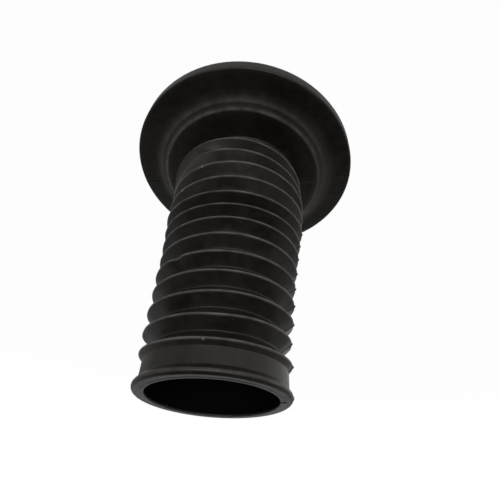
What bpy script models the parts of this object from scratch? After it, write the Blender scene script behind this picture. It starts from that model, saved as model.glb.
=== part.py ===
"""Dust boot of a shock absorber: one moulded rubber piece, from the spring seat up to the collar.

It stands on the back face of its spring seat flange, at z = 0, with its axis on Z and the open collar on top.
All sizes are in metres. The whole boot is one closed section in the r-z plane, spun about the axis. The soft
folds are then settled: they belly, shift and lean by a few millimetres, as the boot stands in the photograph.
"""

import math

import bmesh
import bpy

# Flange that seats between the coil spring and the body
FLANGE_RADIUS = 0.075
FLANGE_THICKNESS = 0.0082
RIM_ROUNDING = 0.0012
SEAT_RECESS_RADIUS = 0.0495

# Raised boss that centres the end coil of the spring, with a low ledge round its foot
BOSS_RADIUS = 0.0545
BOSS_HEIGHT = 0.0128
BOSS_WALL = 0.0060
BOSS_CROWN_WIDTH = 0.0030
BOSS_CROWN_DROP = 0.0006
BOSS_EDGE_ROUNDING = 0.0010
LEDGE_RADIUS = 0.0584
LEDGE_HEIGHT = 0.0111
LEDGE_WIDTH = 0.0025
LEDGE_DROP = 0.0010
LEDGE_ROUNDING = 0.0020
LEDGE_FOOT_RADIUS = 0.0612
LEDGE_FOOT_ROUNDING = 0.0060

# Narrow neck between the boss and the first fold
NECK_RADIUS = 0.0368
NECK_FOOT_ROUNDING = 0.0015

# Twelve folds, wide at the flange and narrow at the collar
FOLD_COUNT = 12
FOLD_PITCH = 0.00979
FOLD_DEPTH = 0.0065
FIRST_CREST_HEIGHT = 0.0235
FIRST_CREST_RADIUS = 0.0430
LAST_CREST_RADIUS = 0.0355
CREST_ROUNDING = 0.0007
ROOT_ROUNDING = 0.0006
WALL = 0.0014

# Plain collar that grips the strut tube
SHOULDER_RADIUS = 0.0353
SHOULDER_SLOPE = 0.0024
COLLAR_RADIUS = 0.0330
COLLAR_LENGTH = 0.0153
MOUTH_RADIUS = 0.0293

# Round bead that stiffens the mouth, with a low lip on its top
BEAD_RADIUS = 0.0349
BEAD_LENGTH = 0.0049
BEAD_ROUND = 0.0016
LIP_WIDTH = 0.0015
LIP_HEIGHT = 0.0004
EDGE_ROUNDING = 0.0004

# How the soft folds have settled, above the stiff boss
BELLY = 0.0011
BELLY_HEIGHT = 0.058
BELLY_SPREAD = 0.020
FOLD_LEAN = 0.050
FOLD_LEAN_START = 0.032
FOLD_LEAN_FULL = 0.054
COLLAR_LEAN = 0.030
COLLAR_LEAN_HEIGHT = 0.145
SAG = 0.098
SAG_HEIGHT = 0.061
SAG_SPREAD = 0.015
MOUTH_TILT = 0.060
NECK_SHIFT = 0.0024
NECK_SHIFT_SPREAD = 0.014
COLLAR_SHIFT = 0.0013
COLLAR_SHIFT_START = 0.125

SEGMENTS = 36
BEAD_FIRST_ANGLE = 90
BEAD_LAST_ANGLE = -30
BEAD_ANGLE_STEP = 30
RUBBER_COLOUR = (0.019, 0.018, 0.017, 1.0)
RUBBER_ROUGHNESS = 0.62


def corner(radius, height, rounding=0.0, steps=1):
    """A corner of the section: where it is, the radius that rounds it, and the flats that make the round."""
    return (radius, height, rounding, steps)


def rounded(corners):
    """The points of a closed section whose corners are rounded by arcs."""
    points = []
    for index, (r, z, rounding, steps) in enumerate(corners):
        before = corners[index - 1]
        after = corners[(index + 1) % len(corners)]
        to_before = (before[0] - r, before[1] - z)
        to_after = (after[0] - r, after[1] - z)
        length_before = math.hypot(*to_before)
        length_after = math.hypot(*to_after)
        unit_before = (to_before[0] / length_before, to_before[1] / length_before)
        unit_after = (to_after[0] / length_after, to_after[1] / length_after)
        cosine = unit_before[0] * unit_after[0] + unit_before[1] * unit_after[1]
        half_angle = math.acos(max(-1.0, min(1.0, cosine))) / 2
        straight = math.pi / 2 - half_angle
        if rounding == 0.0 or straight < 0.01:
            points.append((r, z))
            continue
        reach = rounding / math.tan(half_angle)
        most = 0.45 * min(length_before, length_after)
        if reach > most:
            rounding = rounding * most / reach
            reach = most
        bisector = (unit_before[0] + unit_after[0], unit_before[1] + unit_after[1])
        bisector_length = math.hypot(*bisector)
        distance = rounding / math.sin(half_angle)
        centre = (
            r + bisector[0] / bisector_length * distance,
            z + bisector[1] / bisector_length * distance,
        )
        start = (r + unit_before[0] * reach - centre[0], z + unit_before[1] * reach - centre[1])
        turn = start[0] * unit_before[1] - start[1] * unit_before[0]
        sweep = 2 * straight * (-1.0 if turn > 0 else 1.0)
        for step in range(steps + 1):
            angle = sweep * step / steps
            points.append(
                (
                    centre[0] + start[0] * math.cos(angle) - start[1] * math.sin(angle),
                    centre[1] + start[0] * math.sin(angle) + start[1] * math.cos(angle),
                )
            )
    return points


def crest_height(number):
    """Height of a crest above the seat: number 0 is next to the boss, FOLD_COUNT is the collar's shoulder."""
    return FIRST_CREST_HEIGHT + number * FOLD_PITCH


def crest_radius(number):
    """Radius of a crest: the folds narrow evenly towards the collar, and the shoulder has a size of its own."""
    if number == FOLD_COUNT:
        return SHOULDER_RADIUS
    share = number / max(1, FOLD_COUNT - 1)
    return FIRST_CREST_RADIUS + (LAST_CREST_RADIUS - FIRST_CREST_RADIUS) * share


def root_radius(number):
    """Radius of the root above a crest, one fold depth inside the two crests that it lies between."""
    return (crest_radius(number) + crest_radius(number + 1)) / 2 - FOLD_DEPTH


def root_height(number):
    return crest_height(number) + FOLD_PITCH / 2


def outer_corners():
    """The outside, from the mouth down to the back face of the flange."""
    shoulder = crest_height(FOLD_COUNT)
    top = shoulder + COLLAR_LENGTH
    lip_radius = MOUTH_RADIUS + LIP_WIDTH
    bead_top = top - LIP_HEIGHT
    bead_low = top - BEAD_LENGTH
    corners = [
        corner(MOUTH_RADIUS, top, EDGE_ROUNDING),
        corner(lip_radius, top, EDGE_ROUNDING),
        corner(lip_radius, bead_top),
    ]
    for angle in range(BEAD_FIRST_ANGLE, BEAD_LAST_ANGLE - 1, -BEAD_ANGLE_STEP):
        corners.append(
            corner(
                BEAD_RADIUS - BEAD_ROUND + BEAD_ROUND * math.cos(math.radians(angle)),
                bead_top - BEAD_ROUND + BEAD_ROUND * math.sin(math.radians(angle)),
            )
        )
    corners += [
        corner(COLLAR_RADIUS, bead_low),
        corner(COLLAR_RADIUS, shoulder + SHOULDER_SLOPE),
        corner(SHOULDER_RADIUS, shoulder, CREST_ROUNDING, 2),
    ]
    for number in reversed(range(FOLD_COUNT)):
        corners.append(corner(root_radius(number), root_height(number), ROOT_ROUNDING))
        corners.append(corner(crest_radius(number), crest_height(number), CREST_ROUNDING, 2))
    corners += [
        corner(NECK_RADIUS, crest_height(0) - FOLD_PITCH / 2, NECK_FOOT_ROUNDING, 2),
        corner(NECK_RADIUS, BOSS_HEIGHT, NECK_FOOT_ROUNDING, 2),
        corner(BOSS_RADIUS - BOSS_CROWN_WIDTH, BOSS_HEIGHT),
        corner(BOSS_RADIUS, BOSS_HEIGHT - BOSS_CROWN_DROP, BOSS_EDGE_ROUNDING, 2),
        corner(LEDGE_RADIUS - LEDGE_WIDTH, LEDGE_HEIGHT),
        corner(LEDGE_RADIUS, LEDGE_HEIGHT - LEDGE_DROP, LEDGE_ROUNDING, 2),
        corner(LEDGE_FOOT_RADIUS, FLANGE_THICKNESS, LEDGE_FOOT_ROUNDING, 3),
        corner(FLANGE_RADIUS, FLANGE_THICKNESS, RIM_ROUNDING, 2),
        corner(FLANGE_RADIUS, 0.0, RIM_ROUNDING / 2),
    ]
    return corners


def inner_corners():
    """The inside, from the back face of the flange up to the mouth."""
    half_pitch = FOLD_PITCH / 2
    shift = WALL * math.hypot(FOLD_DEPTH, half_pitch) / half_pitch
    recess_top = BOSS_HEIGHT - BOSS_WALL
    bore = NECK_RADIUS - shift
    shoulder = crest_height(FOLD_COUNT)
    corners = [
        corner(SEAT_RECESS_RADIUS, 0.0, EDGE_ROUNDING),
        corner(SEAT_RECESS_RADIUS, recess_top, EDGE_ROUNDING),
        corner(bore, recess_top, EDGE_ROUNDING),
        corner(bore, crest_height(0) - half_pitch, ROOT_ROUNDING),
    ]
    for number in range(FOLD_COUNT):
        corners.append(corner(crest_radius(number) - shift, crest_height(number), ROOT_ROUNDING))
        corners.append(corner(root_radius(number) - shift, root_height(number), CREST_ROUNDING))
    corners.append(corner(MOUTH_RADIUS, shoulder))
    return corners


def rise(height, start, end):
    """Nothing below start, one above end, and a smooth step between them."""
    share = max(0.0, min(1.0, (height - start) / (end - start)))
    return share * share * (3 - 2 * share)


def hump(height, middle, spread):
    return math.exp(-(((height - middle) / spread) ** 2))


def settled(radius, height, angle):
    """Where a point of the straight section comes to lie: the seat and the boss stay, and the folds and collar move."""
    top = crest_height(FOLD_COUNT) + COLLAR_LENGTH
    free = rise(height, BOSS_HEIGHT, crest_height(0))
    radius += free * BELLY * hump(height, BELLY_HEIGHT, BELLY_SPREAD)
    x = radius * math.cos(angle)
    y = radius * math.sin(angle)
    side_lean = FOLD_LEAN * rise(height, FOLD_LEAN_START, FOLD_LEAN_FULL)
    side_lean += (COLLAR_LEAN - FOLD_LEAN) * rise(height, COLLAR_SHIFT_START, COLLAR_LEAN_HEIGHT)
    front_lean = SAG * hump(height, SAG_HEIGHT, SAG_SPREAD)
    front_lean -= MOUTH_TILT * rise(height, crest_height(FOLD_COUNT), top)
    shift = NECK_SHIFT * hump(height, crest_height(0), NECK_SHIFT_SPREAD)
    shift -= COLLAR_SHIFT * rise(height, COLLAR_SHIFT_START, top)
    return (x + free * shift, y, height + free * (side_lean * x - front_lean * y))


def rubber():
    material = bpy.data.materials.new("black_rubber")
    material.use_nodes = True
    shader = material.node_tree.nodes["Principled BSDF"]
    shader.inputs["Base Color"].default_value = RUBBER_COLOUR
    shader.inputs["Roughness"].default_value = RUBBER_ROUGHNESS
    shader.inputs["Metallic"].default_value = 0.0
    material.diffuse_color = RUBBER_COLOUR
    return material


def boot():
    """Spins the section about Z into one closed, smooth-shaded body, and settles it."""
    section = rounded(outer_corners() + inner_corners())
    shape = bmesh.new()
    rings = []
    for step in range(SEGMENTS):
        angle = 2 * math.pi * step / SEGMENTS
        rings.append([shape.verts.new(settled(r, z, angle)) for r, z in section])
    for step, ring in enumerate(rings):
        following = rings[(step + 1) % SEGMENTS]
        for place in range(len(section)):
            below = (place + 1) % len(section)
            shape.faces.new((ring[place], ring[below], following[below], following[place]))
    bmesh.ops.recalc_face_normals(shape, faces=shape.faces)
    mesh = bpy.data.meshes.new("dust_boot")
    shape.to_mesh(mesh)
    shape.free()
    mesh.shade_smooth()
    mesh.set_sharp_from_angle(angle=math.radians(40))
    mesh.materials.append(rubber())
    return bpy.data.objects.new("dust_boot", mesh)


for old in list(bpy.data.objects):
    bpy.data.objects.remove(old, do_unlink=True)

bpy.context.scene.collection.objects.link(boot())
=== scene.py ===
# %% [markdown]
# Dust boot of a shock absorber, in Blender
#
# The real object is one piece of black moulded rubber. A wide flange carries the coil spring, a
# raised boss centres it, and twelve folds run from the boss to a plain collar with a beaded mouth.
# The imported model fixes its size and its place, and this script gives it its finished surface. The
# boot stands on its flange with the mouth on top.

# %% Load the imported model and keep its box
import math

import bpy
from mathutils import Matrix, Vector

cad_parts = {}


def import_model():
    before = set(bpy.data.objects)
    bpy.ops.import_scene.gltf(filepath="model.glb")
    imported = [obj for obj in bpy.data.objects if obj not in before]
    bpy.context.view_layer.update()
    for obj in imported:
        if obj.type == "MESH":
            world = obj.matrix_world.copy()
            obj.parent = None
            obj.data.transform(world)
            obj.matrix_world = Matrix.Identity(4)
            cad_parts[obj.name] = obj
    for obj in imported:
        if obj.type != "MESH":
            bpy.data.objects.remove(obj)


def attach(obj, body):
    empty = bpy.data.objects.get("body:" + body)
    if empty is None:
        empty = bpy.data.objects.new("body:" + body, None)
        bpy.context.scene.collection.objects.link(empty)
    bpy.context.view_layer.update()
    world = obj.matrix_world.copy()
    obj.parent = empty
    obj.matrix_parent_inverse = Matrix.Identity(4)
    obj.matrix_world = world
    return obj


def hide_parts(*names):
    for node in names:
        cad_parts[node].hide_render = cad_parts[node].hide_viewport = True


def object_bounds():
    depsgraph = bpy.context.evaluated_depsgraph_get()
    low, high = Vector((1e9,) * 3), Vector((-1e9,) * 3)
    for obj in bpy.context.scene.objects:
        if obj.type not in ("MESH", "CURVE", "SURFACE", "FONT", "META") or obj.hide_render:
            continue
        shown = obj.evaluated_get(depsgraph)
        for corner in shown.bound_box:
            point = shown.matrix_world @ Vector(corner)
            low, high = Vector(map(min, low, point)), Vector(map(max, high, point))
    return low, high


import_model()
cad_low, cad_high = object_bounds()
FLANGE_RADIUS = cad_high[0]
print("packed box, mm:", [round((high - low) * 1000, 1) for low, high in zip(cad_low, cad_high)])

# %% [markdown]
# The camera comes first, because each later choice is judged through it. The photograph was taken
# from close by with a wide lens, from beyond the mouth, and with the flange at the top of the
# picture. In this frame the flange is at the bottom, so the camera looks down at the boot and is
# rolled by almost half a turn.

# %% Camera
IMAGE_SIDE = 500
FOCAL_PIXELS = 300
SENSOR_WIDTH = 36.0
NEAREST_SEEN = 0.005
CAMERA_PLACE = Vector((0.0, -0.1442, 0.1815))
HEADING = math.radians(-4.13)
PITCH = math.radians(-37.23)
ROLL = math.radians(-173.78)


def camera():
    data = bpy.data.cameras.new("camera")
    data.sensor_width = SENSOR_WIDTH
    data.lens = FOCAL_PIXELS / IMAGE_SIDE * SENSOR_WIDTH
    data.clip_start = NEAREST_SEEN
    ahead = math.cos(PITCH)
    forward = Vector((math.sin(HEADING) * ahead, math.cos(HEADING) * ahead, math.sin(PITCH)))
    level = forward.cross(Vector((0, 0, 1))).normalized()
    raised = level.cross(forward)
    right = level * math.cos(ROLL) + raised * math.sin(ROLL)
    up = right.cross(forward)
    place = Matrix((right, up, -forward)).transposed().to_4x4()
    place.translation = CAMERA_PLACE
    made = bpy.data.objects.new("camera", data)
    made.matrix_world = place
    bpy.context.scene.collection.objects.link(made)
    bpy.context.scene.camera = made
    return made


view = camera()
print("lens, mm:", round(view.data.lens, 2))
print("up in the picture:", [round(value, 2) for value in view.matrix_world.col[1][:3]])

# %% [markdown]
# The sizes below are the boot's own, in metres. The mould's section is a closed outline of corners,
# each with the radius that rounds it. One function will turn corners into arcs, so the outline holds
# only the points that its shape needs, and a fold is two corners: a crest and a root.

# %% Sizes of the section
MM = 0.001
FLANGE_THICKNESS = 8.2 * MM
RIM_ROUNDING = 1.2 * MM
SEAT_RECESS_RADIUS = 49.5 * MM
BOSS_RADIUS = 54.5 * MM
BOSS_HEIGHT = 12.8 * MM
BOSS_WALL = 6.0 * MM
BOSS_CROWN_WIDTH = 3.0 * MM
BOSS_CROWN_DROP = 0.6 * MM
BOSS_CROWN_ROUNDING = 6.0 * MM
BOSS_EDGE_ROUNDING = 1.5 * MM
LEDGE_RADIUS = 58.4 * MM
LEDGE_HEIGHT = 11.5 * MM
LEDGE_WIDTH = 2.5 * MM
LEDGE_DROP = 1.4 * MM
LEDGE_TOP_ROUNDING = 1.6 * MM
LEDGE_ROUNDING = 3.0 * MM
LEDGE_FOOT_RADIUS = 61.4 * MM
LEDGE_FOOT_ROUNDING = 6.0 * MM
NECK_RADIUS = 36.8 * MM
NECK_FOOT_ROUNDING = 1.5 * MM
FOLD_COUNT = 12
FOLD_PITCH = 9.79 * MM
FOLD_DEPTH = 6.5 * MM
FIRST_CREST_HEIGHT = 23.5 * MM
FIRST_CREST_RADIUS = 43.0 * MM
LAST_CREST_RADIUS = 35.5 * MM
CREST_ROUNDING = 0.4 * MM
ROOT_ROUNDING = 0.6 * MM
WALL = 1.4 * MM
SHOULDER_RADIUS = 35.3 * MM
SHOULDER_SLOPE = 2.4 * MM
COLLAR_RADIUS = 33.0 * MM
MOUTH_RADIUS = 29.3 * MM
COLLAR_LENGTH = 15.3 * MM
BEAD_RADIUS = 34.9 * MM
BEAD_LENGTH = 4.9 * MM
BEAD_ROUND = 1.6 * MM
LIP_WIDTH = 1.5 * MM
LIP_HEIGHT = 0.4 * MM
LIP_STEP = 0.1 * MM
EDGE_ROUNDING = 0.4 * MM
print("folds:", FOLD_COUNT, "pitch and wall, mm:", round(FOLD_PITCH / MM, 2), round(WALL / MM, 2))

# %% [markdown]
# The boot tapers, so each crest is a little narrower than the one below it. A root lies halfway
# between two crests, and the depth of a fold further in. Counted from the flange, the crest after the
# last fold is the shoulder of the collar.

# %% Crests and roots
def crest_height(number):
    return FIRST_CREST_HEIGHT + number * FOLD_PITCH


def crest_radius(number):
    if number == FOLD_COUNT:
        return SHOULDER_RADIUS
    return FIRST_CREST_RADIUS + (LAST_CREST_RADIUS - FIRST_CREST_RADIUS) * number / (FOLD_COUNT - 1)


def root_radius(number):
    return (crest_radius(number) + crest_radius(number + 1)) / 2 - FOLD_DEPTH


def root_height(number):
    return crest_height(number) + FOLD_PITCH / 2


print("crests, mm:", [round(crest_height(number) / MM, 1) for number in range(FOLD_COUNT)])

# %% [markdown]
# Each corner says where it is, how far it is rounded, in how many steps, and how much it is made
# paler, from 0 to 1. The paler tone is partly real rubbing and partly a painted highlight where light
# catches the edge. The sharp crests get most and the flange hardly any. The outside runs from the
# mouth down to the floor. The bead at the mouth is round, so its corners are simply set along a circle.

# %% Corners of the outside
# Each share below lightens its corner, for real rubbing and for a painted highlight together.
WEAR_MOUTH = 0.1
LIP_WEAR_AND_HIGHLIGHT = 0.2
BEAD_WEAR_AND_HIGHLIGHT = 0.3
CREST_WEAR_AND_HIGHLIGHT = 1.0
BOSS_EDGE_WEAR_AND_HIGHLIGHT = 0.95
# The three ledge shares are painted highlight only, where the slopes of the ledge catch the light.
LEDGE_TOP_HIGHLIGHT = 0.22
LEDGE_EDGE_HIGHLIGHT = 0.42
LEDGE_FOOT_HIGHLIGHT = 0.10
WEAR_RIM = 0.05
BEAD_ANGLES = range(90, -31, -10)
BEAD_WEAR_AND_HIGHLIGHT_ANGLES = range(-20, 21)


def corner(radius, height, rounding=0.0, steps=1, wear_and_highlight=0.0):
    return (radius, height, rounding, steps, wear_and_highlight)


def outer_corners():
    shoulder = crest_height(FOLD_COUNT)
    top = shoulder + COLLAR_LENGTH
    lip_radius = MOUTH_RADIUS + LIP_WIDTH
    bead_top = top - LIP_HEIGHT
    corners = [
        corner(MOUTH_RADIUS, bead_top + LIP_STEP, EDGE_ROUNDING, 4, WEAR_MOUTH),
        corner(lip_radius, bead_top + LIP_STEP, EDGE_ROUNDING, 4, LIP_WEAR_AND_HIGHLIGHT),
        corner(lip_radius, bead_top, EDGE_ROUNDING, 2),
    ]
    for angle in BEAD_ANGLES:
        out = BEAD_ROUND * math.cos(math.radians(angle))
        up = BEAD_ROUND * math.sin(math.radians(angle))
        wear_and_highlight = BEAD_WEAR_AND_HIGHLIGHT if angle in BEAD_WEAR_AND_HIGHLIGHT_ANGLES else 0.0
        corners.append(corner(BEAD_RADIUS - BEAD_ROUND + out, bead_top - BEAD_ROUND + up, wear_and_highlight=wear_and_highlight))
    corners += [
        corner(COLLAR_RADIUS, top - BEAD_LENGTH, EDGE_ROUNDING, 3),
        corner(COLLAR_RADIUS, shoulder + SHOULDER_SLOPE, EDGE_ROUNDING, 3),
        corner(SHOULDER_RADIUS, shoulder, CREST_ROUNDING, 6, CREST_WEAR_AND_HIGHLIGHT),
    ]
    for number in reversed(range(FOLD_COUNT)):
        corners.append(corner(root_radius(number), root_height(number), ROOT_ROUNDING, 4))
        corners.append(corner(crest_radius(number), crest_height(number), CREST_ROUNDING, 6, CREST_WEAR_AND_HIGHLIGHT))
    corners += [
        corner(NECK_RADIUS, crest_height(0) - FOLD_PITCH / 2, NECK_FOOT_ROUNDING, 5),
        corner(NECK_RADIUS, BOSS_HEIGHT, NECK_FOOT_ROUNDING, 5),
        corner(BOSS_RADIUS - BOSS_CROWN_WIDTH, BOSS_HEIGHT, BOSS_CROWN_ROUNDING, 4),
        corner(BOSS_RADIUS, BOSS_HEIGHT - BOSS_CROWN_DROP, BOSS_EDGE_ROUNDING, 8, BOSS_EDGE_WEAR_AND_HIGHLIGHT),
        corner(LEDGE_RADIUS - LEDGE_WIDTH, LEDGE_HEIGHT, LEDGE_TOP_ROUNDING, 6, LEDGE_TOP_HIGHLIGHT),
        corner(LEDGE_RADIUS, LEDGE_HEIGHT - LEDGE_DROP, LEDGE_ROUNDING, 6, LEDGE_EDGE_HIGHLIGHT),
        corner(LEDGE_FOOT_RADIUS, FLANGE_THICKNESS, LEDGE_FOOT_ROUNDING, 8, LEDGE_FOOT_HIGHLIGHT),
        corner(FLANGE_RADIUS, FLANGE_THICKNESS, RIM_ROUNDING, 6, WEAR_RIM),
        corner(FLANGE_RADIUS, 0.0, RIM_ROUNDING / 2, 4, WEAR_RIM),
    ]
    return corners


print("corners outside:", len(outer_corners()))

# %% [markdown]
# The inside follows the outside and runs back up, so the two lists join into one closed outline. The
# wall of a fold lies on a slope, so the inside is shifted by more than the wall is thick: the steeper
# the fold, the longer the way through it. Under the boss there is a recess, which keeps the rubber
# from getting too thick to mould.

# %% Corners of the inside
def inner_corners():
    half_pitch = FOLD_PITCH / 2
    shift = WALL * math.hypot(FOLD_DEPTH, half_pitch) / half_pitch
    recess_top = BOSS_HEIGHT - BOSS_WALL
    bore = NECK_RADIUS - shift
    corners = [
        corner(SEAT_RECESS_RADIUS, 0.0, EDGE_ROUNDING, 3),
        corner(SEAT_RECESS_RADIUS, recess_top, EDGE_ROUNDING, 3),
        corner(bore, recess_top, EDGE_ROUNDING, 3),
        corner(bore, crest_height(0) - half_pitch, ROOT_ROUNDING, 2),
    ]
    for number in range(FOLD_COUNT):
        corners.append(corner(crest_radius(number) - shift, crest_height(number), ROOT_ROUNDING, 2))
        corners.append(corner(root_radius(number) - shift, root_height(number), CREST_ROUNDING, 2))
    corners.append(corner(MOUTH_RADIUS, crest_height(FOLD_COUNT), EDGE_ROUNDING, 2))
    return corners


print("corners inside:", len(inner_corners()))

# %% [markdown]
# A corner is rounded by a circle that touches both of its sides, as the Bevel modifier would round it.
# Here it is worked out, so that each corner can have its own radius. On short sides the radius is
# limited, so that two neighbouring arcs never meet.

# %% Arc at a corner
MOST_OF_A_SIDE = 0.45
print("an arc takes at most this share of a side:", MOST_OF_A_SIDE)


def arc_at(before, here, after):
    """The points that round one corner, by the circle that touches both of its sides."""
    spot = Vector(here[:2])
    toward_before = Vector(before[:2]) - spot
    toward_after = Vector(after[:2]) - spot
    shortest = min(toward_before.length, toward_after.length)
    toward_before.normalize()
    toward_after.normalize()
    half_angle = toward_before.angle(toward_after) / 2
    radius = min(here[2], MOST_OF_A_SIDE * shortest * math.tan(half_angle))
    if radius <= 0.0:
        return [spot]
    centre = spot + (toward_before + toward_after).normalized() * (radius / math.sin(half_angle))
    start = spot + toward_before * (radius / math.tan(half_angle)) - centre
    end = spot + toward_after * (radius / math.tan(half_angle)) - centre
    sweep = start.angle_signed(end)
    points = []
    for step in range(here[3] + 1):
        points.append(centre + Matrix.Rotation(-sweep * step / here[3], 2) @ start)
    return points


# %% [markdown]
# The corners become points. Straights are divided too, because the bending further on can only bend
# what has points. Beside a well rubbed crest one more point is set less than a millimetre away, so
# that the pale line, rubbing and painted highlight together, stays thin. Another one, just inside the
# mouth, ends the tone of the outside there, so that it doesn't fade down the bore.

# %% Outline of the section
LONGEST_STEP_OUTSIDE = 2.2 * MM
LONGEST_STEP_INSIDE = 6.0 * MM
LINE_MARGIN = 0.7 * MM
WELL_RUBBED = 0.97


def outline(corners, outside_count):
    """Rows of (point, wear, outside) along the closed section."""
    rows = []
    for index, here in enumerate(corners):
        after = corners[(index + 1) % len(corners)]
        outside = 1.0 if index < outside_count else 0.0
        last = index + 1 == len(corners)
        arc = arc_at(corners[index - 1], here, after)
        rows += [(point, here[4], outside) for point in arc]
        following = arc_at(here, after, corners[(index + 2) % len(corners)])[0]
        straight = following - arc[-1]
        longest = LONGEST_STEP_OUTSIDE if outside else LONGEST_STEP_INSIDE
        pieces = max(1, math.ceil(straight.length / longest))
        margin = straight.normalized() * LINE_MARGIN
        edged = straight.length > 3 * LINE_MARGIN
        if edged and here[4] > WELL_RUBBED:
            rows.append((arc[-1] + margin, 0.0, outside))
        for piece in range(1, pieces):
            rows.append((arc[-1] + straight * piece / pieces, 0.0, outside))
        if edged and (after[4] > WELL_RUBBED or last):
            rows.append((following - margin, 0.0, outside))
    return rows


section_rows = outline(outer_corners() + inner_corners(), len(outer_corners()))
print("points of the section:", len(section_rows))

# %% [markdown]
# The section becomes a mesh of points and edges in the plane of X and Z. Each point keeps how much it
# is rubbed and painted lighter as a highlight, whether it is on the outside, and which way is outward
# there. Attributes carry this into the node tree, and from there into the material.

# %% Section as a mesh
def section_mesh(rows):
    points = [row[0] for row in rows]
    edges = [(index, (index + 1) % len(points)) for index in range(len(points))]
    mesh = bpy.data.meshes.new("section")
    mesh.from_pydata([(point.x, 0.0, point.y) for point in points], edges, [])
    wear_and_highlight = mesh.attributes.new("wear_and_highlight", "FLOAT", "POINT")
    outer = mesh.attributes.new("outside", "FLOAT", "POINT")
    outward = mesh.attributes.new("outward", "FLOAT_VECTOR", "POINT")
    for index, row in enumerate(rows):
        along = (points[(index + 1) % len(points)] - points[index - 1]).normalized()
        wear_and_highlight.data[index].value = row[1]
        outer.data[index].value = row[2]
        outward.data[index].vector = (-along.y, 0.0, along.x)
    return mesh


section = section_mesh(section_rows)
print("attributes of the section:", section.attributes.keys())

# %% [markdown]
# Materials and shapes are both node trees from here on. A few helpers keep them short. Each one adds
# a node, links what it is given, and returns the output, so a tree reads like a formula.

# %% Add, link and calculate
def add(tree, kind, **settings):
    node = tree.nodes.new(kind)
    for name, value in settings.items():
        setattr(node, name, value)
    return node


def put(tree, value, socket):
    """Links an output socket, or writes a plain value."""
    if isinstance(value, bpy.types.NodeSocket):
        tree.links.new(value, socket)
    else:
        socket.default_value = value


def maths(tree, operation, *values):
    node = add(tree, "ShaderNodeMath", operation=operation)
    for value, socket in zip(values, node.inputs):
        put(tree, value, socket)
    return node.outputs[0]


def product(tree, first, *factors):
    for factor in factors:
        first = maths(tree, "MULTIPLY", first, factor)
    return first


def total(tree, first, *terms):
    """Adds products: each further term is a tuple of factors."""
    for term in terms:
        first = maths(tree, "ADD", first, product(tree, *term))
    return first


# %% [markdown]
# The other helpers put a vector together or take it apart, turn a measure into a share with Map Range,
# and read a noise. A noise is given by its scale and its detail together.

# %% Vectors, ranges and noise
def vector(tree, x, y, z):
    node = add(tree, "ShaderNodeCombineXYZ")
    for value, socket in zip((x, y, z), node.inputs):
        put(tree, value, socket)
    return node.outputs[0]


def parts(tree, value):
    node = add(tree, "ShaderNodeSeparateXYZ")
    put(tree, value, node.inputs[0])
    return node.outputs


def between(tree, value, start, end, low=0.0, high=1.0, kind="LINEAR"):
    """Maps start to end onto low to high, and holds outside them."""
    node = add(tree, "ShaderNodeMapRange", interpolation_type=kind)
    names = ("Value", "From Min", "From Max", "To Min", "To Max")
    for name, given in zip(names, (value, start, end, low, high)):
        put(tree, given, node.inputs[name])
    return node.outputs[0]


def rise(tree, value, start, end, low=0.0, high=1.0):
    """The same with soft ends."""
    return between(tree, value, start, end, low, high, "SMOOTHSTEP")


def noise(tree, place, grain, name):
    node = add(tree, "ShaderNodeTexNoise", label=name)
    put(tree, place, node.inputs["Vector"])
    node.inputs["Scale"].default_value, node.inputs["Detail"].default_value = grain
    return node.outputs["Fac"]


# %% [markdown]
# The rubber is nearly black, but not evenly. Old rubber sweats out a faint grey bloom, in soft
# patches and in streaks along the boot. A painted image could carry this, but noise in the object's
# own coordinates has no seam and no resolution.

# %% Bloom on the rubber
CLEAN = (0.0115, 0.0103, 0.0094, 1.0)
BLOOMED = (0.0225, 0.0206, 0.0190, 1.0)
PATCHES = (38.0, 4.0)
STREAKS = (230.0, 3.0)
STREAK_STRETCH = 0.22
PATCH_SHARE = 0.55
BLOOM_STARTS, BLOOM_FULL = 0.40, 0.64


def bloom_film(tree, place):
    """Soft patches mixed with streaks that run along the boot."""
    drawn_out = add(tree, "ShaderNodeMapping")
    drawn_out.inputs["Scale"].default_value = (1.0, 1.0, STREAK_STRETCH)
    put(tree, place, drawn_out.inputs["Vector"])
    patches = noise(tree, place, PATCHES, "patches")
    streaks = noise(tree, drawn_out.outputs[0], STREAKS, "streaks")
    return total(tree, product(tree, patches, PATCH_SHARE), (streaks, 1.0 - PATCH_SHARE))


print("bloomed rubber is paler than clean rubber by a factor of", round(BLOOMED[0] / CLEAN[0], 2))

# %% [markdown]
# Crests and edges are rubbed lighter by hands and packing, and the same pale colour also stands for a
# painted highlight where light catches them. The stretched patch gets a painted sheen of it too. A few
# specks of dust sit on the rubber. Three pale nibs are larger than the dust, so each of them has its
# own place and radius, in millimetres. The inside is painted darker, as painted shade in the tube.
# The attributes for rubbing and highlight, for the stretched patch and for the outside, which come
# from the shape, say where each colour lies.

# %% Rubbing and painted highlight, dust and the painted shade inside
# This pale colour stands for rubbed rubber and for painted highlight on crests and edges.
RUBBED_AND_HIGHLIGHT = (0.150, 0.142, 0.132, 1.0)
DUST = (0.26, 0.245, 0.225, 1.0)
# Darker colour for the inside: painted shade in the tube.
INSIDE_PAINTED_SHADE = (0.0046, 0.0042, 0.0041, 1.0)
# Share of the pale colour painted on the stretched patch: a painted sheen.
SLACK_PAINTED_SHEEN = 0.22
RUBBING = (160.0, 3.0)
RUBBING_STARTS, RUBBING_FULL = 0.34, 0.66
LEAST_RUBBING = 0.45
SPECKS = (1500.0, 1.0)
SPECK_STARTS, SPECK_FULL = 0.775, 0.80
SPECK_SHARE = 0.4
NIBS = (((24.0, -34.8, 44.8), 1.0), ((33.0, -25.6, 56.7), 1.1), ((5.8, -34.1, 141.8), 0.6))


def mixed(tree, share, below, above):
    node = add(tree, "ShaderNodeMix", data_type="RGBA")
    put(tree, share, node.inputs["Factor"])
    put(tree, below, node.inputs["A"])
    put(tree, above, node.inputs["B"])
    return node.outputs["Result"]


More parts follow.
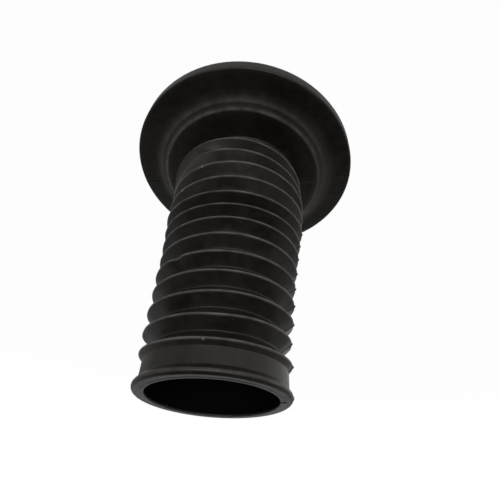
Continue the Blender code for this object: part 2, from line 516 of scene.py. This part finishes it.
def rubber_colour(tree, place, film, wear_and_highlight, slack, outside):
    # On the stretched patch the bloom is set full, which paints the patch paler as painted sheen.
    bloom = maths(tree, "MAXIMUM", between(tree, film, BLOOM_STARTS, BLOOM_FULL), slack)
    colour = mixed(tree, bloom, CLEAN, BLOOMED)
    rubbing = noise(tree, place, RUBBING, "rubbing")
    uneven = between(tree, rubbing, RUBBING_STARTS, RUBBING_FULL, LEAST_RUBBING, 1.0)
    # Painted highlight along the crests and edges, mixed with real rubbing; the noise breaks up both.
    colour = mixed(tree, product(tree, wear_and_highlight, uneven), colour, RUBBED_AND_HIGHLIGHT)
    # Painted sheen on the stretched patch.
    colour = mixed(tree, product(tree, slack, SLACK_PAINTED_SHEEN), colour, RUBBED_AND_HIGHLIGHT)
    specks = between(tree, noise(tree, place, SPECKS, "dust"), SPECK_STARTS, SPECK_FULL)
    colour = mixed(tree, product(tree, specks, SPECK_SHARE), colour, DUST)
    for centre, radius in NIBS:
        away = add(tree, "ShaderNodeVectorMath", operation="DISTANCE")
        put(tree, place, away.inputs[0])
        put(tree, [value * MM for value in centre], away.inputs[1])
        near = between(tree, away.outputs["Value"], radius * MM, radius * MM / 2)
        colour = mixed(tree, near, colour, DUST)
    # The inside gets the painted shade colour.
    return mixed(tree, outside, INSIDE_PAINTED_SHADE, colour)


print("pale nibs:", len(NIBS))

# %% [markdown]
# The sheen is what shows the shape of a black object. It is broad, and a little warm, and the inside
# has none. Where the bloom is thick the surface is duller, so the same film drives the roughness. Two
# bumps lie on top: the slight waviness of a moulded skin, and the fine grain of the mould itself. A
# bump is enough for both, because neither shows in the outline.

# %% Rubber material
SHEEN_TINT = (1.0, 0.945, 0.895, 1.0)
RUBBER_IOR = 1.40
SHEEN_LEVEL = 0.50
GLOSSIEST, DULLEST = 0.30, 0.44
DULLING_STARTS, DULLING_FULL = 0.35, 0.68
INSIDE_ROUGHNESS = 0.9
BUMP_STRENGTH = 0.30
WAVES = (95.0, 2.0)
WAVE_DEPTH = 0.6 * MM
GRAIN = (1700.0, 3.0)
GRAIN_DEPTH = 0.12 * MM


def bumped(tree, height, distance, under=None):
    node = add(tree, "ShaderNodeBump")
    node.inputs["Strength"].default_value = BUMP_STRENGTH
    node.inputs["Distance"].default_value = distance
    put(tree, height, node.inputs["Height"])
    if under is not None:
        put(tree, under, node.inputs["Normal"])
    return node.outputs[0]


def rubber():
    material = bpy.data.materials.new("black_rubber")
    material.use_nodes = True
    tree = material.node_tree
    shader = tree.nodes["Principled BSDF"]
    place = add(tree, "ShaderNodeTexCoord").outputs["Object"]
    wear_and_highlight, slack, outside = (
        add(tree, "ShaderNodeAttribute", attribute_name=name).outputs["Fac"]
        for name in ("wear_and_highlight", "slack", "outside")
    )
    film = bloom_film(tree, place)
    put(tree, rubber_colour(tree, place, film, wear_and_highlight, slack, outside), shader.inputs["Base Color"])
    roughness = between(tree, film, DULLING_STARTS, DULLING_FULL, GLOSSIEST, DULLEST)
    put(tree, between(tree, outside, 0.0, 1.0, INSIDE_ROUGHNESS, roughness), shader.inputs["Roughness"])
    put(tree, product(tree, outside, SHEEN_LEVEL), shader.inputs["Specular IOR Level"])
    shader.inputs["Specular Tint"].default_value = SHEEN_TINT
    shader.inputs["IOR"].default_value = RUBBER_IOR
    waves = bumped(tree, noise(tree, place, WAVES, "waves"), WAVE_DEPTH)
    grain = bumped(tree, noise(tree, place, GRAIN, "grain"), GRAIN_DEPTH, waves)
    put(tree, grain, shader.inputs["Normal"])
    return material


black_rubber = rubber()
print("material nodes:", len(black_rubber.node_tree.nodes))

# %% [markdown]
# A lathe shape can be made with the Screw modifier or with bmesh spin. Here Geometry Nodes do it,
# because the same tree then bends the result as the real rubber is bent. Each step below takes the
# radius and the height of a point and changes them. Two shapes of change serve for all of them: a
# bump along the height, and the same bump around the turn. The second one is made from a cosine, so
# it has no break where the turn closes.

# %% Bumps along the height and around the turn
def hump(tree, height, middle, spread):
    off = maths(tree, "DIVIDE", maths(tree, "SUBTRACT", height, middle), spread)
    return maths(tree, "EXPONENT", product(tree, off, off, -1.0))


def around(tree, angle, middle, spread):
    off = maths(tree, "SUBTRACT", maths(tree, "COSINE", maths(tree, "SUBTRACT", angle, middle)), 1.0)
    return maths(tree, "EXPONENT", product(tree, off, 2.0 / spread**2))


SHOULDER_HEIGHT = crest_height(FOLD_COUNT)
TOP_HEIGHT = SHOULDER_HEIGHT + COLLAR_LENGTH
print("shoulder and top of the section, mm:", round(SHOULDER_HEIGHT / MM, 2), round(TOP_HEIGHT / MM, 2))

# %% [markdown]
# Flash is the thin ridge of rubber that is pressed out where the halves of the mould meet. It is
# highest on the crests, where it ends in small points, lower between them, and trimmed on the boss
# and the flange. The back of the flange and the top of the mouth lie in other parts of the mould and
# have none. The ridge is added along the section's own outward direction, so it stands square to
# every slope.

# %% Flash on the parting lines
PARTING_ANGLE = math.radians(-166)
FLASH_HEIGHT = 0.50 * MM
FLASH_WIDTH = 0.30 * MM
FLASH_ON_FLANGE = 0.7
FLASH_OFF_CRESTS = 0.4
print("parting lines, degrees:", [round(math.degrees(PARTING_ANGLE + turn)) for turn in (0.0, math.pi)])


def with_flash(tree, start, angle, radius, height, outward, wear_and_highlight, outside):
    out_radius, _, out_height = parts(tree, outward)
    aside = maths(tree, "SINE", maths(tree, "SUBTRACT", angle, start["Parting angle"]))
    ridge = hump(tree, product(tree, radius, aside), 0.0, start["Flash width"])
    strength = between(tree, wear_and_highlight, 0.0, 1.0, FLASH_OFF_CRESTS, 1.0)
    trimmed = rise(tree, height, BOSS_HEIGHT, FIRST_CREST_HEIGHT, FLASH_ON_FLANGE, 1.0)
    off_floor = rise(tree, height, 0.0, RIM_ROUNDING)
    off_top = rise(tree, height, TOP_HEIGHT, TOP_HEIGHT - BEAD_ROUND)
    ridge = product(tree, ridge, strength, outside, trimmed, off_floor, off_top, start["Flash height"])
    return total(tree, radius, (ridge, out_radius)), total(tree, height, (ridge, out_height))


# %% [markdown]
# On the right of the picture the edge of the boss lies a little nearer the neck than a true circle
# would, and its rubbing and painted highlight are weaker there. The step draws the ring of boss and
# ledge in on that side, and leaves the neck and the flange where they are.

# %% Ring drawn in on one side
DRAWN_ANGLE = math.radians(180)
DRAWN_SPREAD = math.radians(48)
DRAWN_IN = 1.7 * MM
# How much less rubbing and painted highlight the drawn-in side gets.
DRAWN_LESS_WEAR_AND_HIGHLIGHT = 0.55


def with_drawn_ring(tree, angle, radius, height, wear_and_highlight, outside):
    raised = rise(tree, height, FLANGE_THICKNESS, LEDGE_HEIGHT - LEDGE_DROP)
    below_folds = rise(tree, height, BOSS_HEIGHT, FIRST_CREST_HEIGHT, 1.0, 0.0)
    off_neck = between(tree, radius, NECK_RADIUS, BOSS_RADIUS - BOSS_CROWN_WIDTH)
    near = around(tree, angle, DRAWN_ANGLE, DRAWN_SPREAD)
    near = product(tree, near, outside, raised, below_folds, off_neck)
    return total(tree, radius, (near, -DRAWN_IN)), total(tree, wear_and_highlight, (wear_and_highlight, near, -DRAWN_LESS_WEAR_AND_HIGHLIGHT))


# %% [markdown]
# Near the flange, on the left of the picture, the second crest is stretched flat. There the radius is
# led over to a plain cone through the crests, and the rubbed and painted-highlight line of the crest
# fades out with it. The bump is multiplied and cut off at 1, so the patch is fully flat in its middle
# and has soft ends. The material paints the patch paler, as a painted sheen on the smooth cone.

# %% Slack patch
SLACK_ANGLE = math.radians(-23)
SLACK_SPREAD = math.radians(27)
SLACK_HEIGHT = 31.0 * MM
SLACK_REACH = 8.0 * MM
SLACK_DEPTH = 0.2 * MM
SLACK_GAIN = 3.0
CONE_SLOPE = (LAST_CREST_RADIUS - FIRST_CREST_RADIUS) / (crest_height(FOLD_COUNT - 1) - FIRST_CREST_HEIGHT)
print("cone through the crests, mm narrower for each mm up:", round(-CONE_SLOPE, 3))


def with_slack(tree, angle, radius, height, wear_and_highlight, outside):
    near = product(tree, around(tree, angle, SLACK_ANGLE, SLACK_SPREAD), outside)
    near = product(tree, near, hump(tree, height, SLACK_HEIGHT, SLACK_REACH), SLACK_GAIN)
    slack = maths(tree, "MINIMUM", near, 1.0)
    above = maths(tree, "SUBTRACT", height, FIRST_CREST_HEIGHT)
    flat = total(tree, FIRST_CREST_RADIUS - SLACK_DEPTH, (above, CONE_SLOPE))
    radius = total(tree, radius, (maths(tree, "SUBTRACT", flat, radius), slack))
    return radius, total(tree, wear_and_highlight, (wear_and_highlight, slack, -1.0)), slack


# %% [markdown]
# The photograph shows a few marks of handling. One crest has a dent, one root is drawn in where the
# boot was bent, and the edge of the mouth has two nicks. Each mark is the two bumps multiplied, times
# its depth. A nick is given by its angle, its distance from the middle and its depth.

# %% Dent, nicks and pinch
DENTED_CREST = 8
DENT_ANGLE = math.radians(-47)
DENT_SPREAD = math.radians(4)
DENT_REACH = 3 * MM
DENT_DEPTH = 1.3 * MM
PINCHED_ROOT = 4
PINCH_ANGLE = math.radians(-98)
PINCH_SPREAD = math.radians(38)
PINCH_REACH = 4 * MM
PINCH_DEPTH = 1.0 * MM
NICKS = (
    (math.radians(-167), 30.4 * MM, 1.3 * MM),
    (math.radians(43), 29.4 * MM, 0.9 * MM),
)
NICK_SPREAD = math.radians(1.2)
NICK_REACH = 0.7 * MM
FOLD_MARKS = (
    (crest_height(DENTED_CREST), DENT_ANGLE, DENT_SPREAD, DENT_REACH, DENT_DEPTH),
    (root_height(PINCHED_ROOT), PINCH_ANGLE, PINCH_SPREAD, PINCH_REACH, PINCH_DEPTH),
)
print("marks on the folds and on the mouth:", len(FOLD_MARKS), len(NICKS))


def with_marks(tree, angle, radius, height, outside):
    for place, turn, spread, reach, depth in FOLD_MARKS:
        near = product(tree, around(tree, angle, turn, spread), outside, hump(tree, height, place, reach))
        radius = total(tree, radius, (near, -depth))
    for turn, place, depth in NICKS:
        near = product(tree, around(tree, angle, turn, NICK_SPREAD), outside)
        near = product(tree, near, hump(tree, radius, place, NICK_REACH))
        height = total(tree, height, (near, hump(tree, height, TOP_HEIGHT, BEAD_ROUND), -depth))
    return radius, height


# %% [markdown]
# Soft folds are never quite even. A slow noise moves them in and out and up and down by less than a
# millimetre. It is read on the unit circle, so it closes on itself, and it dies away at the neck, at
# the collar and where the rubber is stretched flat.

# %% Unevenness of the folds
UNEVENNESS = 1.4 * MM
UNEVEN = (1.6, 1.0)
UNEVEN_ALONG = 60.0
NOISE_MIDDLE = 0.5
print("folds uneven by up to, mm:", UNEVENNESS / MM * NOISE_MIDDLE)


def with_unevenness(tree, angle, radius, height, slack):
    across, aside = maths(tree, "COSINE", angle), maths(tree, "SINE", angle)
    circle = vector(tree, across, aside, product(tree, height, UNEVEN_ALONG))
    uneven = noise(tree, circle, UNEVEN, "unevenness")
    above_boss = rise(tree, height, BOSS_HEIGHT, FIRST_CREST_HEIGHT)
    at_collar = rise(tree, height, crest_height(FOLD_COUNT - 1), SHOULDER_HEIGHT)
    loose = maths(tree, "SUBTRACT", above_boss, at_collar)
    folded = maths(tree, "SUBTRACT", 1.0, slack)
    shove = product(tree, maths(tree, "SUBTRACT", uneven, NOISE_MIDDLE), loose, folded)
    return total(tree, radius, (shove, UNEVENNESS)), total(tree, height, (shove, UNEVENNESS))


# %% [markdown]
# The boot doesn't stand like a turned part. Above the stiff boss it bellies out a little, the folds
# lean to one side, those near the flange dip at the back, and the collar sits a millimetre off centre
# with its mouth tilted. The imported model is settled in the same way, so both have the same outline.
# Every term fades in above the boss.

# %% Settle
BELLY = 1.1 * MM
BELLY_HEIGHT = 58 * MM
BELLY_SPREAD = 20 * MM
FOLD_LEAN = 0.050
FOLD_LEAN_START = 32 * MM
FOLD_LEAN_FULL = 54 * MM
COLLAR_LEAN = 0.030
COLLAR_LEAN_HEIGHT = 145 * MM
SAG = 0.098
SAG_HEIGHT = 61 * MM
SAG_SPREAD = 15 * MM
MOUTH_TILT = 0.060
NECK_SHIFT = 2.4 * MM
NECK_SHIFT_SPREAD = 14 * MM
COLLAR_SHIFT = 1.3 * MM
COLLAR_SHIFT_START = 125 * MM
print("mouth tilted by, degrees:", round(math.degrees(math.atan(MOUTH_TILT)), 1))


def settled(tree, angle, radius, height):
    free = rise(tree, height, BOSS_HEIGHT, FIRST_CREST_HEIGHT)
    radius = total(tree, radius, (hump(tree, height, BELLY_HEIGHT, BELLY_SPREAD), free, BELLY))
    x = product(tree, radius, maths(tree, "COSINE", angle))
    y = product(tree, radius, maths(tree, "SINE", angle))
    side_lean = total(
        tree,
        rise(tree, height, FOLD_LEAN_START, FOLD_LEAN_FULL, 0.0, FOLD_LEAN),
        (rise(tree, height, COLLAR_SHIFT_START, COLLAR_LEAN_HEIGHT), COLLAR_LEAN - FOLD_LEAN),
    )
    front_lean = total(
        tree,
        product(tree, hump(tree, height, SAG_HEIGHT, SAG_SPREAD), SAG),
        (rise(tree, height, SHOULDER_HEIGHT, TOP_HEIGHT), -MOUTH_TILT),
    )
    shift = total(
        tree,
        product(tree, hump(tree, height, FIRST_CREST_HEIGHT, NECK_SHIFT_SPREAD), NECK_SHIFT),
        (rise(tree, height, COLLAR_SHIFT_START, TOP_HEIGHT), -COLLAR_SHIFT),
    )
    height = total(tree, height, (free, side_lean, x), (free, front_lean, y, -1.0))
    return vector(tree, total(tree, x, (free, shift)), y, height)


# %% [markdown]
# Now the steps are put together. A flat grid gets one column for each angle and one row for each
# point of the section. The columns crowd towards the parting lines, because the flash is thinner than
# an even column. The last column lies on the first and the last row on the first, so a weld can close
# the surface with no seam.

# %% Grid of angles and rows
SEGMENTS = 200
CROWDING = 0.85
HALF_GRID = 0.5
print("degrees from column to column, on average:", 360 / SEGMENTS)


def turned_grid(tree, start):
    """A unit grid, the angle of each of its points, and the point's row of the section."""
    count = add(tree, "GeometryNodeAttributeDomainSize", component="MESH")
    put(tree, start["Geometry"], count.inputs["Geometry"])
    rows = count.outputs["Point Count"]
    grid = add(tree, "GeometryNodeMeshGrid")
    put(tree, 2 * HALF_GRID, grid.inputs["Size X"])
    put(tree, 2 * HALF_GRID, grid.inputs["Size Y"])
    put(tree, maths(tree, "ADD", start["Segments"], 1), grid.inputs["Vertices X"])
    put(tree, maths(tree, "ADD", rows, 1), grid.inputs["Vertices Y"])
    across, along, _ = parts(tree, add(tree, "GeometryNodeInputPosition").outputs[0])
    turn = product(tree, maths(tree, "ADD", across, HALF_GRID), 2 * math.pi)
    twice = product(tree, maths(tree, "SUBTRACT", turn, start["Parting angle"]), 2.0)
    crowd = product(tree, start["Crowding"], 0.5, maths(tree, "SINE", twice))
    row = maths(tree, "ROUND", product(tree, maths(tree, "ADD", along, HALF_GRID), rows))
    return grid.outputs["Mesh"], maths(tree, "SUBTRACT", turn, crowd), maths(tree, "MODULO", row, rows)


# %% [markdown]
# Each grid point looks its section point up by its row, with Sample Index. When the steps have found
# its place, it is moved there, and three attributes stay on it for the material. The tree ends in
# Realize Instances and Set Material, as every tree does that has to leave Blender as a plain mesh.

# %% Look up and surface
WELD = 0.002 * MM
print("weld, mm:", WELD / MM)


def looked_up(tree, start, row, name, kind):
    if name == "position":
        field = add(tree, "GeometryNodeInputPosition").outputs[0]
    else:
        attribute = add(tree, "GeometryNodeInputNamedAttribute", data_type=kind)
        attribute.inputs["Name"].default_value = name
        field = attribute.outputs["Attribute"]
    sample = add(tree, "GeometryNodeSampleIndex", data_type=kind, domain="POINT")
    put(tree, start["Geometry"], sample.inputs["Geometry"])
    put(tree, field, sample.inputs["Value"])
    put(tree, row, sample.inputs["Index"])
    return sample.outputs["Value"]


def passed(tree, geometry, kind, inputs, **settings):
    """Adds one more node to the line that the geometry runs through."""
    node = add(tree, kind, **settings)
    put(tree, geometry, node.inputs["Geometry"])
    for name, value in inputs.items():
        put(tree, value, node.inputs[name])
    return node.outputs[0]


def surfaced(tree, mesh, place, kept, material):
    point_value = {"data_type": "FLOAT", "domain": "POINT"}
    for name, value in kept.items():
        inputs = {"Name": name, "Value": value}
        mesh = passed(tree, mesh, "GeometryNodeStoreNamedAttribute", inputs, **point_value)
    mesh = passed(tree, mesh, "GeometryNodeSetPosition", {"Position": place})
    mesh = passed(tree, mesh, "GeometryNodeMergeByDistance", {"Distance": WELD})
    mesh = passed(tree, mesh, "GeometryNodeSetShadeSmooth", {})
    mesh = passed(tree, mesh, "GeometryNodeRealizeInstances", {})
    return passed(tree, mesh, "GeometryNodeSetMaterial", {"Material": material})


# %% [markdown]
# The tree itself is now short. Its inputs carry the sizes that someone may want to change on the
# modifier, and the steps follow one another as the rubber met them: moulded with its flash,
# stretched, marked, and settled.

# %% Geometry Nodes tree
def spin_tree():
    tree = bpy.data.node_groups.new("spin_and_settle", "GeometryNodeTree")
    sizes = {
        "Parting angle": PARTING_ANGLE,
        "Crowding": CROWDING,
        "Flash height": FLASH_HEIGHT,
        "Flash width": FLASH_WIDTH,
    }
    face = tree.interface
    face.new_socket("Geometry", in_out="INPUT", socket_type="NodeSocketGeometry")
    face.new_socket("Segments", in_out="INPUT", socket_type="NodeSocketInt").default_value = SEGMENTS
    for name, size in sizes.items():
        face.new_socket(name, in_out="INPUT", socket_type="NodeSocketFloat").default_value = size
    face.new_socket("Material", in_out="INPUT", socket_type="NodeSocketMaterial")
    face.new_socket("Geometry", in_out="OUTPUT", socket_type="NodeSocketGeometry")
    start = add(tree, "NodeGroupInput").outputs
    end = add(tree, "NodeGroupOutput").inputs

    mesh, angle, row = turned_grid(tree, start)
    radius, _, height = parts(tree, looked_up(tree, start, row, "position", "FLOAT_VECTOR"))
    outward = looked_up(tree, start, row, "outward", "FLOAT_VECTOR")
    wear_and_highlight = looked_up(tree, start, row, "wear_and_highlight", "FLOAT")
    outside = looked_up(tree, start, row, "outside", "FLOAT")

    radius, height = with_flash(tree, start, angle, radius, height, outward, wear_and_highlight, outside)
    radius, wear_and_highlight = with_drawn_ring(tree, angle, radius, height, wear_and_highlight, outside)
    radius, wear_and_highlight, slack = with_slack(tree, angle, radius, height, wear_and_highlight, outside)
    radius, height = with_marks(tree, angle, radius, height, outside)
    radius, height = with_unevenness(tree, angle, radius, height, slack)
    place = settled(tree, angle, radius, height)

    kept = {"wear_and_highlight": wear_and_highlight, "outside": outside, "slack": slack}
    put(tree, surfaced(tree, mesh, place, kept, start["Material"]), end["Geometry"])
    return tree


spin = spin_tree()
print("shape nodes:", len(spin.nodes))

# %% [markdown]
# The tree is run once, and its result is kept as a plain mesh. The finished boot is on the root body,
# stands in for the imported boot, and shows the black rubber.

# %% Boot
def grown(name, mesh, tree, values):
    """Runs a tree on a mesh and returns the result as a plain object at the origin."""
    seed = bpy.data.objects.new(name + "_seed", mesh)
    bpy.context.scene.collection.objects.link(seed)
    modifier = seed.modifiers.new("grow", "NODES")
    modifier.node_group = tree
    for item in tree.interface.items_tree:
        if item.in_out == "INPUT" and item.name in values:
            modifier[item.identifier] = values[item.name]
    graph = bpy.context.evaluated_depsgraph_get()
    made = bpy.data.meshes.new_from_object(seed.evaluated_get(graph), depsgraph=graph)
    bpy.data.objects.remove(seed, do_unlink=True)
    made.name = name
    result = bpy.data.objects.new(name, made)
    bpy.context.scene.collection.objects.link(result)
    return result


boot = grown("boot", section, spin, {"Material": black_rubber})
print("boot triangles:", sum(len(face.vertices) - 2 for face in boot.data.polygons))
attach(boot, "root")
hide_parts("dust_boot")

# %% [markdown]
# The ground is plain white. A real sheet that white would light the black rubber from
# below far too much, so the floor is two things at once. The camera sees a nearly white glow, with a
# little of the real floor and its shadow left in it. Reflections see a dimmer glowing sheet that
# stands in for the room: a painted reflection, with a painted shadow under the boot and painted
# dimness on one side.

# %% Floor
FLOOR_SIDE = 60.0
FLOOR_COLOUR = (0.85, 0.85, 0.85, 1.0)
FLOOR_ROUGHNESS = 0.9
GLOW = 1.0
NEAR_FLOOR, FAR_FLOOR = 0.30, 1.20
NEAR_GLOW = 0.975
MIRROR_NEAR, MIRROR_FAR = 0.10, 0.40
MIRRORED_NEAR, MIRRORED_FAR = 0.20, 0.76
DIM_STARTS, DIM_FULL = 0.05, 0.30
DIM_SIDE = 0.28


def white_floor():
    material = bpy.data.materials.new("white_floor")
    material.use_nodes = True
    tree = material.node_tree
    shader = tree.nodes["Principled BSDF"]
    shader.inputs["Base Color"].default_value = FLOOR_COLOUR
    shader.inputs["Roughness"].default_value = FLOOR_ROUGHNESS
    glow = add(tree, "ShaderNodeEmission")
    glow.inputs["Strength"].default_value = GLOW
    place = add(tree, "ShaderNodeTexCoord").outputs["Object"]
    length = add(tree, "ShaderNodeVectorMath", operation="LENGTH")
    put(tree, place, length.inputs[0])
    distance = length.outputs["Value"]
    white = rise(tree, distance, NEAR_FLOOR, FAR_FLOOR, NEAR_GLOW, GLOW)
    # Glossy rays see this glow: a painted reflection, darker near the boot as painted shadow and darker on
    # one side as painted dimness.
    mirrored = between(tree, distance, MIRROR_NEAR, MIRROR_FAR, MIRRORED_NEAR, MIRRORED_FAR)
    dimmed = between(tree, parts(tree, place)[0], DIM_STARTS, DIM_FULL, 1.0, DIM_SIDE)
    mirrored = product(tree, mirrored, dimmed)
    ray = add(tree, "ShaderNodeLightPath").outputs
    seen = total(tree, product(tree, ray["Is Camera Ray"], white), (ray["Is Glossy Ray"], mirrored))
    mix = add(tree, "ShaderNodeMixShader")
    put(tree, seen, mix.inputs[0])
    put(tree, shader.outputs[0], mix.inputs[1])
    put(tree, glow.outputs[0], mix.inputs[2])
    put(tree, mix.outputs[0], tree.nodes["Material Output"].inputs[0])
    return material


def floor():
    bpy.ops.mesh.primitive_plane_add(size=FLOOR_SIDE)
    made = bpy.context.object
    made.name = "floor"
    made.data.materials.append(white_floor())
    return made


ground = floor()
print("floor side, m:", ground.dimensions.x)

# %% [markdown]
# The room is dim, and lighter near the horizon than overhead, so the slopes of the folds differ in
# tone while the flange stays dark. The camera sees it plain white.

# %% Room
ROOM_SIDES, ROOM_OVERHEAD = 0.34, 0.015
SIDES_END, OVERHEAD_STARTS = 0.50, 0.85
WHITE = (1.0, 1.0, 1.0, 1.0)


def world():
    made = bpy.data.worlds.new("studio")
    made.use_nodes = True
    tree = made.node_tree
    room = tree.nodes["Background"]
    upward = parts(tree, add(tree, "ShaderNodeTexCoord").outputs["Generated"])[2]
    strength = rise(tree, upward, SIDES_END, OVERHEAD_STARTS, ROOM_SIDES, ROOM_OVERHEAD)
    put(tree, strength, room.inputs["Strength"])
    white = add(tree, "ShaderNodeBackground")
    room.inputs["Color"].default_value = WHITE
    white.inputs["Color"].default_value = WHITE
    mix = add(tree, "ShaderNodeMixShader")
    put(tree, add(tree, "ShaderNodeLightPath").outputs["Is Camera Ray"], mix.inputs[0])
    put(tree, room.outputs[0], mix.inputs[1])
    put(tree, white.outputs[0], mix.inputs[2])
    put(tree, mix.outputs[0], tree.nodes["World Output"].inputs[0])
    return made


bpy.context.scene.world = world()
print("room strength at the sides and overhead:", ROOM_SIDES, ROOM_OVERHEAD)

# %% [markdown]
# Three softboxes. A wide one above and in front draws the broad sheen on the collar and on the slopes
# of the folds. A small one, low on the right of the picture, lights the flank, and a faint one behind
# keeps the back from going black. Each is given by its place, its width and height, and its power in
# watts.

# %% Softboxes
AIM = (0.0, 0.0, 0.08)
SOFTBOXES = {
    "front_softbox": ((0.06, -0.92, 0.40), (1.1, 0.26), 3.3),
    "right_softbox": ((-0.90, -0.10, 0.10), (0.6, 0.18), 0.5),
    "back_softbox": ((0.0, 0.95, 0.60), (1.1, 0.30), 0.3),
}


def softbox(name, place, size, power):
    data = bpy.data.lights.new(name, "AREA")
    data.shape = "RECTANGLE"
    data.size, data.size_y = size
    data.energy = power
    made = bpy.data.objects.new(name, data)
    bpy.context.scene.collection.objects.link(made)
    made.location = place
    made.rotation_euler = (Vector(AIM) - Vector(place)).to_track_quat("-Z", "Y").to_euler()
    return made


for light_name, (light_place, light_size, light_power) in SOFTBOXES.items():
    softbox(light_name, light_place, light_size, light_power)
    print(light_name, "W:", light_power)

# %% [markdown]
# Last, the colours are shown with the Standard view transform. The surface has to stay inside the
# imported box, so that whatever is measured on the one holds for the other.

# %% Finish
bpy.context.scene.view_settings.view_transform = "Standard"
